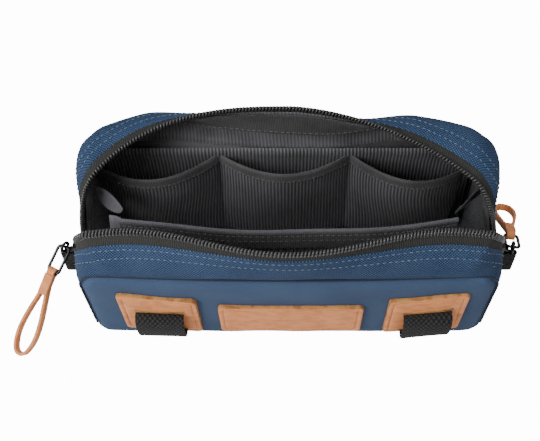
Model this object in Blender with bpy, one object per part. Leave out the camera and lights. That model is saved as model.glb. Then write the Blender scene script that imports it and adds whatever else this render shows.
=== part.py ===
"""Zippered box pouch, standing on its base with its mouth held open.

Metres, +Z up. X runs along the long zip, -Y is the front with the leather patches,
and the origin is at the middle of the base, on the surface that the pouch stands on.
"""
import math

import bmesh
import bpy
import numpy as np
from mathutils import Vector

MM = 0.001
GAP = 0.3 * MM  # left between two pieces that touch

# Driving sizes of the shell
BASE_HALF_WIDTH = 113.4 * MM  # outside of the bottom gusset's side walls
BASE_HALF_DEPTH = 28.5 * MM
BASE_WALL = 2.0 * MM
ZIP_END_HEIGHT = 42.0 * MM  # top of the bottom gusset's side walls
ZIP_END_Y = -8.0 * MM  # where front and rear halves of the gusset meet
SEAM_HEIGHT = 68.0 * MM  # top edge of the front and rear panels
FRONT_HALF_WIDTH = BASE_HALF_WIDTH - 7.4 * MM  # of the front panel
REAR_HALF_WIDTH = BASE_HALF_WIDTH - 10.2 * MM  # of the rear panel, inside the front half
PANEL_CORNER = 10.0 * MM
PANEL_WALL = 3.4 * MM
PANEL_BOTTOM = 0.8 * MM
BAND_WALL = 2.0 * MM
LINING = 1.0 * MM
TAPE_WALL = 1.0 * MM
COIL_RADIUS = 1.5 * MM
TAPE_WIDTH = 13.0 * MM  # tape that shows beside the coil

# Front wall
FRONT_FOOT_Y = -BASE_HALF_DEPTH - 1.5 * MM
FRONT_FOOT_ROUND = 10.0 * MM
FRONT_LEAN = 0.08  # outwards for each unit of height
FRONT_BOW = 3.5 * MM
FRONT_SIDE_X = BASE_HALF_WIDTH - BASE_WALL - 0.5 * MM  # outside of the front half of the zip gusset
FRONT_RIM_Y = FRONT_FOOT_Y - 2.5 * MM
FRONT_RIM_BOW = 18.0 * MM
FRONT_RIM_HEIGHT = SEAM_HEIGHT + 32.0 * MM
FRONT_RIM_DROP = 10.0 * MM
FRONT_RIM_END = BASE_HALF_WIDTH - 15.4 * MM
FRONT_BOW_END = FRONT_RIM_END - 10.0 * MM

# Rear wall
REAR_FOOT_Y = BASE_HALF_DEPTH + 1.5 * MM
REAR_FOOT_ROUND = 6.0 * MM
REAR_LEAN = 0.035
REAR_SIDE_X = FRONT_SIDE_X - 3.3 * MM  # outside of the rear half of the zip gusset
REAR_RIM_DEPTH = 46.0 * MM  # from the zip's ends back to the middle of the rear rim
REAR_RIM_HEIGHT = SEAM_HEIGHT + 34.0 * MM
REAR_RIM_DROP = 9.0 * MM
REAR_RIM_END = BASE_HALF_WIDTH - 23.4 * MM

BULGE = 3.0 * MM  # of the zip gusset between its seam and its tape, along the top
SIDE_BULGE = 1.0 * MM  # the same at the two ends
SIDE_START = 16.3 * MM  # how far in from the end the bulge starts to turn outwards
SIDE_BLEND = 12.0 * MM

# Stiff board inside the base
BOARD_HALF_WIDTH = BASE_HALF_WIDTH - 15.4 * MM
BOARD_HALF_DEPTH = BASE_HALF_DEPTH - 4.5 * MM
BOARD_THICK = 1.5 * MM

# Pockets inside
BAY_EDGES = tuple(share * BASE_HALF_WIDTH for share in (-0.802, -0.326, 0.291, 0.776))
BAY_BULGE = 14.0 * MM
BAY_HEIGHT = SEAM_HEIGHT - 2.0 * MM
BINDING_HEIGHT = 3.6 * MM
BINDING_THICK = 1.6 * MM
BAY_FOOT = 7.0 * MM
SLIP_FOOT = 6.0 * MM
SLIP_HALF_WIDTH = BASE_HALF_WIDTH - 31.4 * MM
SLIP_HEIGHT = SEAM_HEIGHT + 12.0 * MM
SLIP_FOOT_Y = FRONT_FOOT_Y
SLIP_TOP_Y = SLIP_FOOT_Y + 5.0 * MM
SLIP_SWEEP = 8.0 * MM

# Leather patches: middle x, middle z, width, height
PATCH_THICK = 2.0 * MM
PATCHES = {
    "patch_left": (46.4 * MM - BASE_HALF_WIDTH, 34.0 * MM, 40.0 * MM, 38.0 * MM),
    "patch_centre": (1.0 * MM, 30.0 * MM, 76.0 * MM, 33.0 * MM),
    "patch_right": (BASE_HALF_WIDTH - 42.4 * MM, 34.0 * MM, 40.0 * MM, 38.0 * MM),
}
PATCH_CORNER = 3.0 * MM
LOOP_WIDTH = 25.0 * MM
LOOP_THICK = 1.6 * MM
LOOP_TOP = 38.0 * MM  # height of the upper end of a webbing loop
LOOP_FOOT = 16.0 * MM
LOOP_STAND = 6.0 * MM  # clear space behind a webbing loop
LOOP_CLEARANCE = 0.2 * MM  # more room behind a loop's ends, where the panel bows

# Zip ends
TAB_REACH = 9.0 * MM
TAB_HEIGHT = 17.0 * MM
TAB_TOP = ZIP_END_HEIGHT - 5.0 * MM
TAB_THICK = 3.4 * MM
SLIDER_SIZE = (2.4 * MM, 8.0 * MM, 10.0 * MM)
SLIDER_Z = ZIP_END_HEIGHT + MM
PIVOT_OUT = 7.2 * MM  # from the side wall out to the pull link's axis
EYE_RADIUS = 2.6 * MM
EYE_WIRE = 0.8 * MM
ARM_WIDTH = 2.4 * MM  # between the slider's plate and its eye
ARM_THICK = 1.6 * MM
LINK_LENGTH = 15.0 * MM  # between the link's two bars
LINK_WIDTH = 7.0 * MM
LINK_WIRE = 0.9 * MM
LINK_CORNER = 1.8 * MM
PULL_LENGTH = 49.0 * MM
PULL_WIDTH = 14.0 * MM
PULL_HEAD_WIDTH = 4.6 * MM
PULL_THONG = 3.6 * MM
PULL_THICK = 2.0 * MM
PULL_CLEARANCE = 0.5 * MM  # round the link's bar
PULL_HEAD_WALL = 1.5 * MM
PULL_NECK = 9.0 * MM  # between the head and the loop

# How each pull hangs, in degrees: its heading out from straight ahead, and the slopes of the
# wire link and of the leather
HANG = {
    "left": (30, -30, -38),
    "right": (170, -30, -35),
}

# Finish of each kind of piece: colour, roughness, metallic
FINISHES = {
    "blue_fabric": ((0.045, 0.085, 0.165, 1), 0.85, 0),
    "black_lining": ((0.012, 0.012, 0.013, 1), 0.7, 0),
    "grey_binding": ((0.06, 0.06, 0.064, 1), 0.8, 0),
    "zip_tape": ((0.03, 0.03, 0.028, 1), 0.9, 0),
    "zip_coil": ((0.02, 0.02, 0.02, 1), 0.35, 0),
    "tan_leather": ((0.48, 0.24, 0.11, 1), 0.6, 0),
    "black_webbing": ((0.02, 0.02, 0.02, 1), 0.85, 0),
    "black_metal": ((0.03, 0.03, 0.03, 1), 0.35, 1),
    "stiffener": ((0.3, 0.3, 0.3, 1), 0.9, 0),
}


def finish(obj, kind):
    """Give the object its own material of this kind and smooth shading."""
    colour, roughness, metallic = FINISHES[kind]
    material = bpy.data.materials.new(obj.name)
    material.use_nodes = True
    shader = material.node_tree.nodes["Principled BSDF"]
    shader.inputs["Base Color"].default_value = colour
    shader.inputs["Roughness"].default_value = roughness
    shader.inputs["Metallic"].default_value = metallic
    obj.data.materials.append(material)
    return obj


def new_object(name, points, faces, kind):
    """An object from points in world metres and faces that point outwards or inwards alike."""
    mesh = bpy.data.meshes.new(name)
    mesh.from_pydata([tuple(p) for p in points], [], faces)
    shape = bmesh.new()
    shape.from_mesh(mesh)
    bmesh.ops.recalc_face_normals(shape, faces=shape.faces)
    bmesh.ops.triangulate(shape, faces=shape.faces)
    shape.to_mesh(mesh)
    shape.free()
    obj = bpy.data.objects.new(name, mesh)
    bpy.context.scene.collection.objects.link(obj)
    mesh.shade_smooth()
    mesh.set_sharp_from_angle(angle=math.radians(35))
    return finish(obj, kind)


def slab(name, grid, thick, kind, inwards):
    """A closed sheet: a grid of outer points and the same points moved inwards by its thickness.

    The grid is rows x columns x 3; inwards is the general direction of the inner side.
    """
    rows, columns = grid.shape[:2]
    along = np.gradient(grid, axis=1)
    up = np.gradient(grid, axis=0)
    normal = np.cross(along, up)
    normal /= np.linalg.norm(normal, axis=2, keepdims=True)
    facing = np.sign((normal * inwards).sum(axis=2).mean())
    inner = grid + normal * facing * thick
    points = np.concatenate([grid.reshape(-1, 3), inner.reshape(-1, 3)])
    index = np.arange(rows * columns).reshape(rows, columns)
    below = index + rows * columns
    faces = []
    for r in range(rows - 1):
        for c in range(columns - 1):
            a, b, d, e = index[r, c], index[r, c + 1], index[r + 1, c + 1], index[r + 1, c]
            faces.append((a, b, d, e))
            shift = rows * columns
            faces.append((e + shift, d + shift, b + shift, a + shift))
    edge = np.concatenate([index[0, :-1], index[:-1, -1], index[-1, :0:-1], index[:0:-1, 0]])
    edge_below = np.concatenate([below[0, :-1], below[:-1, -1], below[-1, :0:-1], below[:0:-1, 0]])
    for k in range(len(edge)):
        n = (k + 1) % len(edge)
        faces.append((edge[k], edge_below[k], edge_below[n], edge[n]))
    return new_object(name, points, [tuple(int(v) for v in f) for f in faces], kind)


def extruded(name, outline, direction, kind):
    """A closed prism: an outline of world points carried along a direction."""
    count = len(outline)
    far = [np.asarray(p) + np.asarray(direction) for p in outline]
    faces = [tuple(range(count)), tuple(range(2 * count - 1, count - 1, -1))]
    faces += [(i, i + count, (i + 1) % count + count, (i + 1) % count) for i in range(count)]
    return new_object(name, list(outline) + far, faces, kind)


def frame_tube(name, path, radius, sides, kind, closed=False):
    """A round tube along a path of points, with flat ends, or closed into a ring."""
    path = np.asarray(path, float)
    tangent = np.gradient(path, axis=0)
    if closed:
        tangent = np.roll(path, -1, axis=0) - np.roll(path, 1, axis=0)
    tangent /= np.linalg.norm(tangent, axis=1, keepdims=True)
    side = np.cross(tangent[0], (0.3, 0.2, 1.0))
    frames = []
    for t in tangent:
        side = side - t * side.dot(t)
        side /= np.linalg.norm(side)
        frames.append((side, np.cross(t, side)))
    points = []
    for p, (u, v) in zip(path, frames):
        for k in range(sides):
            turn = 2 * math.pi * k / sides
            points.append(p + radius * (math.cos(turn) * u + math.sin(turn) * v))
    count = len(path)
    faces = []
    for i in range(count if closed else count - 1):
        j = (i + 1) % count
        for k in range(sides):
            n = (k + 1) % sides
            faces.append((i * sides + k, i * sides + n, j * sides + n, j * sides + k))
    if not closed:
        faces.append(tuple(range(sides)))
        faces.append(tuple((count - 1) * sides + k for k in range(sides)))
    return new_object(name, points, faces, kind)


def bezier(p0, p1, p2, p3, count):
    t = np.linspace(0, 1, count)[:, None]
    p0, p1, p2, p3 = (np.asarray(p, float) for p in (p0, p1, p2, p3))
    return (1 - t) ** 3 * p0 + 3 * t * (1 - t) ** 2 * p1 + 3 * t**2 * (1 - t) * p2 + t**3 * p3


def resampled(path, share):
    """Points of a path at these shares of its length."""
    step = np.linalg.norm(np.diff(path, axis=0), axis=1)
    along = np.concatenate([[0], np.cumsum(step)])
    at = np.asarray(share) * along[-1]
    return np.stack([np.interp(at, along, path[:, k]) for k in range(3)], axis=1)


def front_y(x, z):
    """The front wall's outside: a rounded foot, then a slight lean and a bow across."""
    low = np.minimum(z, 12 * MM) / (12 * MM)
    foot = FRONT_FOOT_ROUND * np.sqrt(1 - (1 - low) ** 2)
    lean = FRONT_LEAN * np.maximum(z - 12 * MM, 0)
    bow = FRONT_BOW * (1 - (x / FRONT_HALF_WIDTH) ** 2) * np.minimum(1, z / SEAM_HEIGHT)
    return FRONT_FOOT_Y - foot - lean - bow


def rear_y(x, z):
    """The rear wall's outside: a rounded foot and a slight lean."""
    low = np.minimum(z, 8 * MM) / (8 * MM)
    return REAR_FOOT_Y + REAR_FOOT_ROUND * np.sqrt(1 - (1 - low) ** 2) + REAR_LEAN * z + 0 * x


def panel_grid(wall_y, half_width, bottom):
    """Rows and columns over a panel with two rounded upper corners."""
    turn = np.linspace(0, math.pi / 2, 4)
    foot = np.array([bottom, 4 * MM, 8 * MM, 14 * MM, 36 * MM])
    heights = np.concatenate([foot, SEAM_HEIGHT - PANEL_CORNER + PANEL_CORNER * np.sin(turn)])
    half = np.full(len(heights), half_width)
    half[-4:] = half_width - PANEL_CORNER + PANEL_CORNER * np.cos(turn)
    share = np.linspace(-1, 1, 15)
    x = half[:, None] * share
    z = heights[:, None] + 0 * share
    return np.stack([x, wall_y(x, z), z], axis=2)


def seam_path(wall_y, half_width, foot):
    """The zip gusset's seam line: up one side of the panel, over its top and down the other."""
    around = BAND_WALL + 1.5 * GAP
    reach = half_width + around
    corner = PANEL_CORNER + around
    top = SEAM_HEIGHT + around
    turn = np.linspace(0, math.pi / 2, 6)
    side_z = np.linspace(foot, top - corner, 8)[:-1]
    x = np.concatenate([np.full(7, reach), reach - corner + corner * np.cos(turn)])
    z = np.concatenate([side_z, top - corner + corner * np.sin(turn)])
    top_x = np.linspace(reach - corner, -(reach - corner), 25)[1:-1]
    x = np.concatenate([x, top_x, -x[::-1]])
    z = np.concatenate([z, np.full(23, top), z[::-1]])
    return np.stack([x, wall_y(x, z), z], axis=1)


def mirrored_rim(branch, middle):
    """A rim path from the right zip end over the top to the left one."""
    right = np.concatenate([branch, middle])
    left = right[::-1] * np.array([-1, 1, 1])
    return np.concatenate([right, left[1:]])


def front_rim():
    """The front zip line: up the side, round the corner and across with its forward bow."""
    x = np.linspace(FRONT_RIM_END, 0, 20)
    bow = np.cos(np.minimum(x / FRONT_BOW_END, 1) * math.pi / 2) ** 2
    z = FRONT_RIM_HEIGHT - FRONT_RIM_DROP * (x / FRONT_RIM_END) ** 2
    middle = np.stack([x, FRONT_RIM_Y - FRONT_RIM_BOW * bow, z], axis=1)
    start = (FRONT_SIDE_X - MM, ZIP_END_Y, ZIP_END_HEIGHT + 2 * MM)
    lift = (FRONT_SIDE_X - 0.5 * MM, ZIP_END_Y - 11 * MM, ZIP_END_HEIGHT + 22 * MM)
    over = (FRONT_RIM_END + 10 * MM, FRONT_RIM_Y + MM, z[0] - MM)
    branch = bezier(start, lift, over, middle[0], 12)[:-1]
    return mirrored_rim(branch, middle)


def rear_rim():
    """The rear zip line: up the side and back across in a wide arch."""
    side = REAR_SIDE_X - MM
    x = np.linspace(REAR_RIM_END, 0, 20)
    y = ZIP_END_Y + REAR_RIM_DEPTH * (1 - (x / side) ** 2)
    z = REAR_RIM_HEIGHT - REAR_RIM_DROP * (x / REAR_RIM_END) ** 4
    middle = np.stack([x, y, z], axis=1)
    start = (side, ZIP_END_Y, ZIP_END_HEIGHT + 2 * MM)
    lift = (side, ZIP_END_Y + 5 * MM, ZIP_END_HEIGHT + 34 * MM)
    over = (side - 4 * MM, y[0] - 9 * MM, z[0] - 2 * MM)
    branch = bezier(start, lift, over, middle[0], 12)[:-1]
    return mirrored_rim(branch, middle)


def gusset_grid(seam, rim, far, near, rows, back, columns=49):
    """A strip of the zip gusset between two distances from the zip line; far None is its seam."""
    share = np.linspace(0, 1, columns)
    s, r = resampled(seam, share), resampled(rim, share)
    width = np.linalg.norm(r - s, axis=1)
    low = 0 * width if far is None else 1 - far / width
    end = np.abs(s[:, 0]).max() - SIDE_START
    side = np.clip((np.abs(s[:, 0]) - end) / SIDE_BLEND, 0, 1)
    out = np.stack([np.sign(s[:, 0]) * side * SIDE_BULGE, back * (1 - side) * BULGE, 0 * side], axis=1)
    w = (low + np.linspace(0, 1, rows)[:, None] * (1 - near / width - low))[:, :, None]
    return s + (r - s) * w + out * 4 * w * (1 - w)


def shell_half(side, wall_y, half_width, rim, back, inwards):
    """Panel, gusset band, zip tape, coil and lining of the front or rear half."""
    outside = panel_grid(wall_y, half_width, PANEL_BOTTOM)
    panel = slab(side + "_panel", outside, PANEL_WALL, "blue_fabric", inwards)
    seam = seam_path(wall_y, half_width, ZIP_END_HEIGHT + MM)
    coil_edge = COIL_RADIUS + 2 * GAP
    tape_edge = coil_edge + TAPE_WIDTH
    middle = np.array([0, 0, 40 * MM])
    band = gusset_grid(seam, rim, None, tape_edge + GAP, 4, back)
    tape = gusset_grid(seam, rim, tape_edge, coil_edge, 3, back)
    return [
        panel,
        slab(side + "_band", band, BAND_WALL, "blue_fabric", middle - band),
        slab(side + "_tape", tape, TAPE_WALL, "zip_tape", middle - tape),
        frame_tube(side + "_coil", resampled(rim, np.linspace(0, 1, 61)), COIL_RADIUS, 6, "zip_coil"),
        lining(side + "_lining", wall_y, half_width, inwards),
    ]


def lining(name, wall_y, half_width, inwards):
    """A thin sheet behind a panel."""
    reach = half_width - 5 * MM
    heights = np.linspace(8 * MM, SEAM_HEIGHT - 5 * MM, 4)
    x, z = np.meshgrid(np.linspace(-reach, reach, 11), heights)
    step = (PANEL_WALL + 2 * GAP) * inwards[1]
    return slab(name, np.stack([x, wall_y(x, z) + step, z], axis=2), LINING, "black_lining", inwards)


def rear_inside(x, z):
    """The mouth side of the rear lining."""
    return rear_y(x, z) - PANEL_WALL - LINING - 3 * GAP


def organiser(name, low, high, rows, thick, kind):
    """A strip of the three-bay pocket on the rear wall, bulging between its stitched dividers."""
    edges = np.array(BAY_EDGES)
    share = np.linspace(0, 1, 8, endpoint=False)
    bays = [a + (b - a) * share for a, b in zip(edges[:-1], edges[1:])]
    x = np.concatenate(bays + [edges[-1:]])
    bay = np.concatenate([np.sin(math.pi * share)] * len(bays) + [[0]])
    z = np.linspace(low, high, rows)[:, None] + 0 * x
    belly = BAY_BULGE * bay * (0.35 + 0.65 * np.minimum(z / BAY_HEIGHT, 1))
    grid = np.stack([x + 0 * z, rear_inside(x, z) - GAP - thick - belly, z], axis=2)
    return slab(name, grid, thick, kind, np.array([0, 1, 0]))


def slip(name, low, high, rows, thick, kind):
    """A strip of the flat pocket that stands in front of the front lining."""
    across = np.linspace(-SLIP_HALF_WIDTH, SLIP_HALF_WIDTH, 13)
    x, z = np.meshgrid(across, np.linspace(low, high, rows))
    sweep = SLIP_SWEEP * (x / SLIP_HALF_WIDTH) ** 2
    y = SLIP_FOOT_Y + (SLIP_TOP_Y - SLIP_FOOT_Y + sweep) * z / SLIP_HEIGHT
    return slab(name, np.stack([x, y, z], axis=2), thick, kind, np.array([0, -1, 0]))


def patch(name):
    """A leather patch that lies on the front panel, with rounded corners."""
    middle, height, wide, tall = PATCHES[name]
    turn = np.linspace(0, math.pi / 2, 4)
    round_z = PATCH_CORNER * (1 - np.cos(turn))
    round_x = PATCH_CORNER * (1 - np.sin(turn))
    z = np.concatenate([height - tall / 2 + round_z, height + tall / 2 - round_z[::-1]])
    half = wide / 2 - np.concatenate([round_x, round_x[::-1]])
    share = np.linspace(-1, 1, 7)
    x = middle + half[:, None] * share
    z = z[:, None] + 0 * share
    grid = np.stack([x, front_y(x, z) - GAP - PATCH_THICK, z], axis=2)
    return slab(name, grid, PATCH_THICK, "tan_leather", np.array([0, 1, 0]))


def webbing_loop(name, middle):
    """A strap that comes out of a patch, stands clear of it and goes back in below."""
    face = -GAP * 2 - PATCH_THICK - LOOP_CLEARANCE
    turn = np.linspace(0, math.pi, 9)
    half = (LOOP_TOP - LOOP_FOOT) / 2
    centre = (LOOP_TOP + LOOP_FOOT) / 2

    def bow(reach, tall):
        z = centre + tall * np.cos(turn)
        out = reach * np.sin(turn) ** 0.6
        wall = front_y(middle + 0 * z, z)
        return np.stack([middle - LOOP_WIDTH / 2 + 0 * z, wall + face - out, z], axis=1)

    outer = bow(LOOP_STAND + LOOP_THICK, half)
    inner = bow(LOOP_STAND, half - LOOP_THICK)
    outline = np.concatenate([outer, inner[::-1]])
    return extruded(name, outline, (LOOP_WIDTH, 0, 0), "black_webbing")


def box(name, low, high, kind):
    corners = ((low[1], low[2]), (high[1], low[2]), (high[1], high[2]), (low[1], high[2]))
    outline = [(low[0], y, z) for y, z in corners]
    return extruded(name, outline, (high[0] - low[0], 0, 0), kind)


def union(obj, *others):
    """Join the others into the first object."""
    for other in others:
        cut = obj.modifiers.new("join", "BOOLEAN")
        cut.operation = "UNION"
        cut.object = other
        other.hide_render = True
        other.display_type = "WIRE"
    return obj


def base_gusset():
    """The bottom of the gusset with its two side walls, one piece of fabric."""
    x, wall = BASE_HALF_WIDTH, BASE_WALL
    z = np.array([0, 2, 5, 9, 14, 28, ZIP_END_HEIGHT / MM]) * MM
    front = np.stack([0 * z, front_y(FRONT_HALF_WIDTH + 0 * z, z), z], axis=1)
    rear = np.stack([0 * z, rear_y(0 * z, z), z], axis=1)
    outline = np.concatenate([front, rear[::-1]])
    walls = [
        extruded(f"side_wall_{k}", outline + (start, 0, 0), (wall, 0, 0), "blue_fabric")
        for k, start in enumerate((-x, x - wall))
    ]
    half = BASE_HALF_DEPTH
    plate = box("base_gusset", (-x + wall / 2, -half, 0), (x - wall / 2, half, wall), "blue_fabric")
    return union(plate, *walls)


def zip_tab(name, side):
    """A folded webbing tab sewn to the outside of a side wall, under the zip's end."""
    start = BASE_HALF_WIDTH + GAP
    low, high = TAB_TOP - TAB_HEIGHT, TAB_TOP
    y = ZIP_END_Y - TAB_THICK / 2
    turn = np.linspace(-math.pi / 2, math.pi / 2, 5)
    fold = TAB_THICK / 2
    out = np.concatenate([[0], TAB_REACH - fold + fold * np.cos(turn), [0]])
    across = np.concatenate([[-fold], fold * np.sin(turn), [fold]])
    outline = [(side * (start + o), y + fold + a, low) for o, a in zip(out, across)]
    return extruded(name, outline, (0, 0, high - low), "black_webbing")


def ring(name, centre, axis, radius, wire, count, sides, kind):
    """A round wire ring about an axis."""
    u = Vector(axis).orthogonal().normalized()
    v = Vector(axis).normalized().cross(u)
    turn = 2 * math.pi * np.arange(count) / count
    path = [np.array(Vector(centre) + radius * (math.cos(t) * u + math.sin(t) * v)) for t in turn]
    return frame_tube(name, path, wire, sides, kind, closed=True)


def pull_parts(side, name):
    """Slider, wire link and leather pull of one zip end."""
    heading, link_rise, pull_rise = (math.radians(v) for v in HANG[name])
    level = Vector((math.sin(heading) * side, -math.cos(heading), 0))
    axis = Vector((0, 0, 1)).cross(level)
    pivot = Vector((side * (BASE_HALF_WIDTH + GAP + PIVOT_OUT), ZIP_END_Y - MM, SLIDER_Z))
    depth, wide, tall = SLIDER_SIZE
    near = BASE_HALF_WIDTH + GAP
    x = sorted((side * near, side * (near + depth)))
    y = pivot.y
    low = (x[0], y - wide / 2, SLIDER_Z - tall / 2)
    high = (x[1], y + wide / 2, SLIDER_Z + tall / 2)
    slider = box("slider_" + name, low, high, "black_metal")
    eye = ring("eye_" + name, pivot, axis, EYE_RADIUS, EYE_WIRE, 16, 6, "black_metal")
    x = sorted((side * (near + depth / 2), pivot.x))
    arm_top = SLIDER_Z - EYE_RADIUS + EYE_WIRE / 2
    low = (x[0], y - ARM_WIDTH / 2, arm_top - ARM_THICK)
    arm = box("arm_" + name, low, (x[1], y + ARM_WIDTH / 2, arm_top), "black_metal")
    union(slider, arm, eye)

    def along(rise):
        return level * math.cos(rise) + Vector((0, 0, math.sin(rise)))

    run = along(link_rise)
    far = pivot + run * LINK_LENGTH
    half = LINK_WIDTH / 2
    corner = LINK_CORNER
    turn = np.linspace(0, math.pi / 2, 4)
    quarter = np.stack([np.cos(turn), np.sin(turn)], axis=1) * corner
    path = []
    for sx, sy in ((1, 1), (-1, 1), (-1, -1), (1, -1)):
        arc = quarter if sx * sy > 0 else quarter[::-1]
        for a, b in arc:
            across = sx * (half - corner + a)
            lengthwise = LINK_LENGTH / 2 + sy * (LINK_LENGTH / 2 - corner + b)
            path.append(np.array(pivot + axis * across + run * lengthwise))
    link = frame_tube("pull_link_" + name, path, LINK_WIRE, 6, "black_metal", closed=True)
    leather = leather_pull(name, far, along(pull_rise), axis)
    return slider, link, leather, pivot, far


def leather_pull(name, far, run, axis):
    """A flat leather thong whose head wraps the link's bar and whose strands form a long loop."""
    lift = run.cross(axis)
    inner = LINK_WIRE + PULL_CLEARANCE
    outer = inner + PULL_HEAD_WALL
    turn = 2 * math.pi * np.arange(12) / 12
    points, faces = [], []
    for across in (-PULL_HEAD_WIDTH / 2, PULL_HEAD_WIDTH / 2):
        for radius in (inner, outer):
            for t in turn:
                points.append(far + axis * across + radius * (math.cos(t) * run + math.sin(t) * lift))
    for k in range(12):
        n = (k + 1) % 12
        faces += [(k, n, 12 + n, 12 + k), (24 + k, 36 + k, 36 + n, 24 + n)]
        faces += [(k, 24 + k, 24 + n, n), (12 + k, 12 + n, 36 + n, 36 + k)]
    head = new_object("pull_head_" + name, points, faces, "tan_leather")

    start = inner + 0.6 * MM
    t = np.linspace(0, math.pi, 13)
    length = PULL_LENGTH - start
    bow = PULL_WIDTH / 2 * np.sin(t) ** 0.8 * (0.55 + 0.45 * t / math.pi)
    outside_x = start + length * (1 - np.cos(t)) / 2
    outside_y = np.maximum(bow, np.where(t < 1.2, PULL_HEAD_WIDTH / 2, 0))
    hole_x = start + PULL_NECK + (length - PULL_NECK - PULL_THONG) * (1 - np.cos(t)) / 2
    hole_y = np.maximum(PULL_WIDTH / 2 - PULL_THONG, MM) * np.sin(t) * (0.6 + 0.4 * t / math.pi)
    points, faces = [], []
    half = PULL_THICK / 2
    for level in (-half, half):
        for xs, ys in ((outside_x, outside_y), (hole_x, hole_y)):
            right = list(zip(xs, ys))
            left = [(x, -y) for x, y in right[-2:0:-1]]
            for x, y in right + left:
                points.append(far + run * x + axis * y + lift * level)
    count = 24
    for k in range(count):
        n = (k + 1) % count
        a, b, c, d = 0, count, 2 * count, 3 * count
        faces += [(a + k, a + n, b + n, b + k), (c + k, d + k, d + n, c + n)]
        faces += [(a + k, c + k, c + n, a + n), (b + k, b + n, d + n, d + k)]
    thong = new_object("leather_pull_" + name, points, faces, "tan_leather")
    return union(thong, head)


def attach(name, pivot, objects):
    """Parent the pieces of a moving body to an empty on its joint's axis, where they are."""
    empty = bpy.data.objects.new(name, None)
    empty.location = pivot
    bpy.context.scene.collection.objects.link(empty)
    for obj in objects:
        obj.parent = empty
        obj.location = -Vector(pivot)


def main():
    for obj in list(bpy.data.objects):
        bpy.data.objects.remove(obj)

    base_gusset()
    low = BASE_WALL + GAP
    corner = (BOARD_HALF_WIDTH, BOARD_HALF_DEPTH, low + BOARD_THICK)
    box("base_board", (-BOARD_HALF_WIDTH, -BOARD_HALF_DEPTH, low), corner, "stiffener")
    for side, name in ((-1, "left"), (1, "right")):
        zip_tab("zip_tab_" + name, side)

    front = shell_half("front", front_y, FRONT_HALF_WIDTH, front_rim(), -1, np.array([0, 1, 0]))
    slip_edge = SLIP_HEIGHT + GAP
    bay_edge = BAY_HEIGHT + GAP
    bay_top = bay_edge + BINDING_HEIGHT
    front += [patch(name) for name in PATCHES]
    front += [
        webbing_loop("webbing_loop_left", PATCHES["patch_left"][0]),
        webbing_loop("webbing_loop_right", PATCHES["patch_right"][0]),
        slip("slip_pocket", SLIP_FOOT, SLIP_HEIGHT, 4, LINING, "black_lining"),
        slip("slip_binding", slip_edge, slip_edge + BINDING_HEIGHT, 2, BINDING_THICK, "grey_binding"),
    ]
    attach("front_shell_axis", (0, FRONT_FOOT_Y, 2 * MM), front)

    rear = shell_half("rear", rear_y, REAR_HALF_WIDTH, rear_rim(), 1, np.array([0, -1, 0]))
    rear += [
        organiser("organiser_pocket", BAY_FOOT, BAY_HEIGHT, 4, LINING, "black_lining"),
        organiser("organiser_binding", bay_edge, bay_top, 2, BINDING_THICK, "grey_binding"),
    ]
    attach("rear_shell_axis", (0, REAR_FOOT_Y, 2 * MM), rear)

    for side, name in ((-1, "left"), (1, "right")):
        slider, link, leather, pivot, far = pull_parts(side, name)
        attach(f"slider_{name}_axis", pivot, [slider])
        attach(f"pull_link_{name}_axis", pivot, [link])
        attach(f"leather_pull_{name}_axis", far, [leather])


main()
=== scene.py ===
import math

import bmesh
import bpy
import numpy as np
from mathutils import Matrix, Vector


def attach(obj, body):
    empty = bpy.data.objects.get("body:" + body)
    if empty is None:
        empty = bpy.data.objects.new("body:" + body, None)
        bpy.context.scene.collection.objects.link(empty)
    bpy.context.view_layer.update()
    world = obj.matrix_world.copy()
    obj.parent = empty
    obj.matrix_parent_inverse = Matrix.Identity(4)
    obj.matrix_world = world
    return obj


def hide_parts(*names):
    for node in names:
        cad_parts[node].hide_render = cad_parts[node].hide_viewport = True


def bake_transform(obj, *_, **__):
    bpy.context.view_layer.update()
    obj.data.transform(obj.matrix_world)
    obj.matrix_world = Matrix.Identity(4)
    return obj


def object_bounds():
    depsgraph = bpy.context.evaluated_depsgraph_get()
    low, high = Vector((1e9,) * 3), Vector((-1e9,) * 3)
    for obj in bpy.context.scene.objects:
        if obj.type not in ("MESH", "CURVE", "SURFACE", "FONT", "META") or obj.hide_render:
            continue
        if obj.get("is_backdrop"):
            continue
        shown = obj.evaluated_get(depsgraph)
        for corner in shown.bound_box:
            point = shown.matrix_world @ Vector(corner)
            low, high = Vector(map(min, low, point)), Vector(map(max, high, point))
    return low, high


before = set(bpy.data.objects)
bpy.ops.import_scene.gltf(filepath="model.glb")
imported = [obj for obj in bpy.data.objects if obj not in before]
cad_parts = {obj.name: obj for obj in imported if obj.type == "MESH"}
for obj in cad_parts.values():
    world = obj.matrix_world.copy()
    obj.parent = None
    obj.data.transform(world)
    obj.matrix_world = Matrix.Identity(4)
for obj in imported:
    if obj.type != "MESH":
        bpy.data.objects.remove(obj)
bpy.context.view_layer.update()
mm = 0.001
print("frame loaded")

# The camera stands in front of the pouch and looks down into its mouth.
camera = {
    "elevation": 55,
    "distance": 0.456,
    "target": (0, 0, 0.055),
    "lens": 56.9,
    "shift": -0.035,
}
tilt = math.radians(camera["elevation"])
lens = bpy.data.objects.new("Camera", bpy.data.cameras.new("Camera"))
bpy.context.scene.collection.objects.link(lens)
away = Vector((0, -math.cos(tilt), math.sin(tilt))) * camera["distance"]
lens.location = Vector(camera["target"]) + away
lens.rotation_euler = (math.pi / 2 - tilt, 0, 0)
lens.data.lens = camera["lens"]
lens.data.shift_x = camera["shift"]
bpy.context.scene.camera = lens


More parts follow.
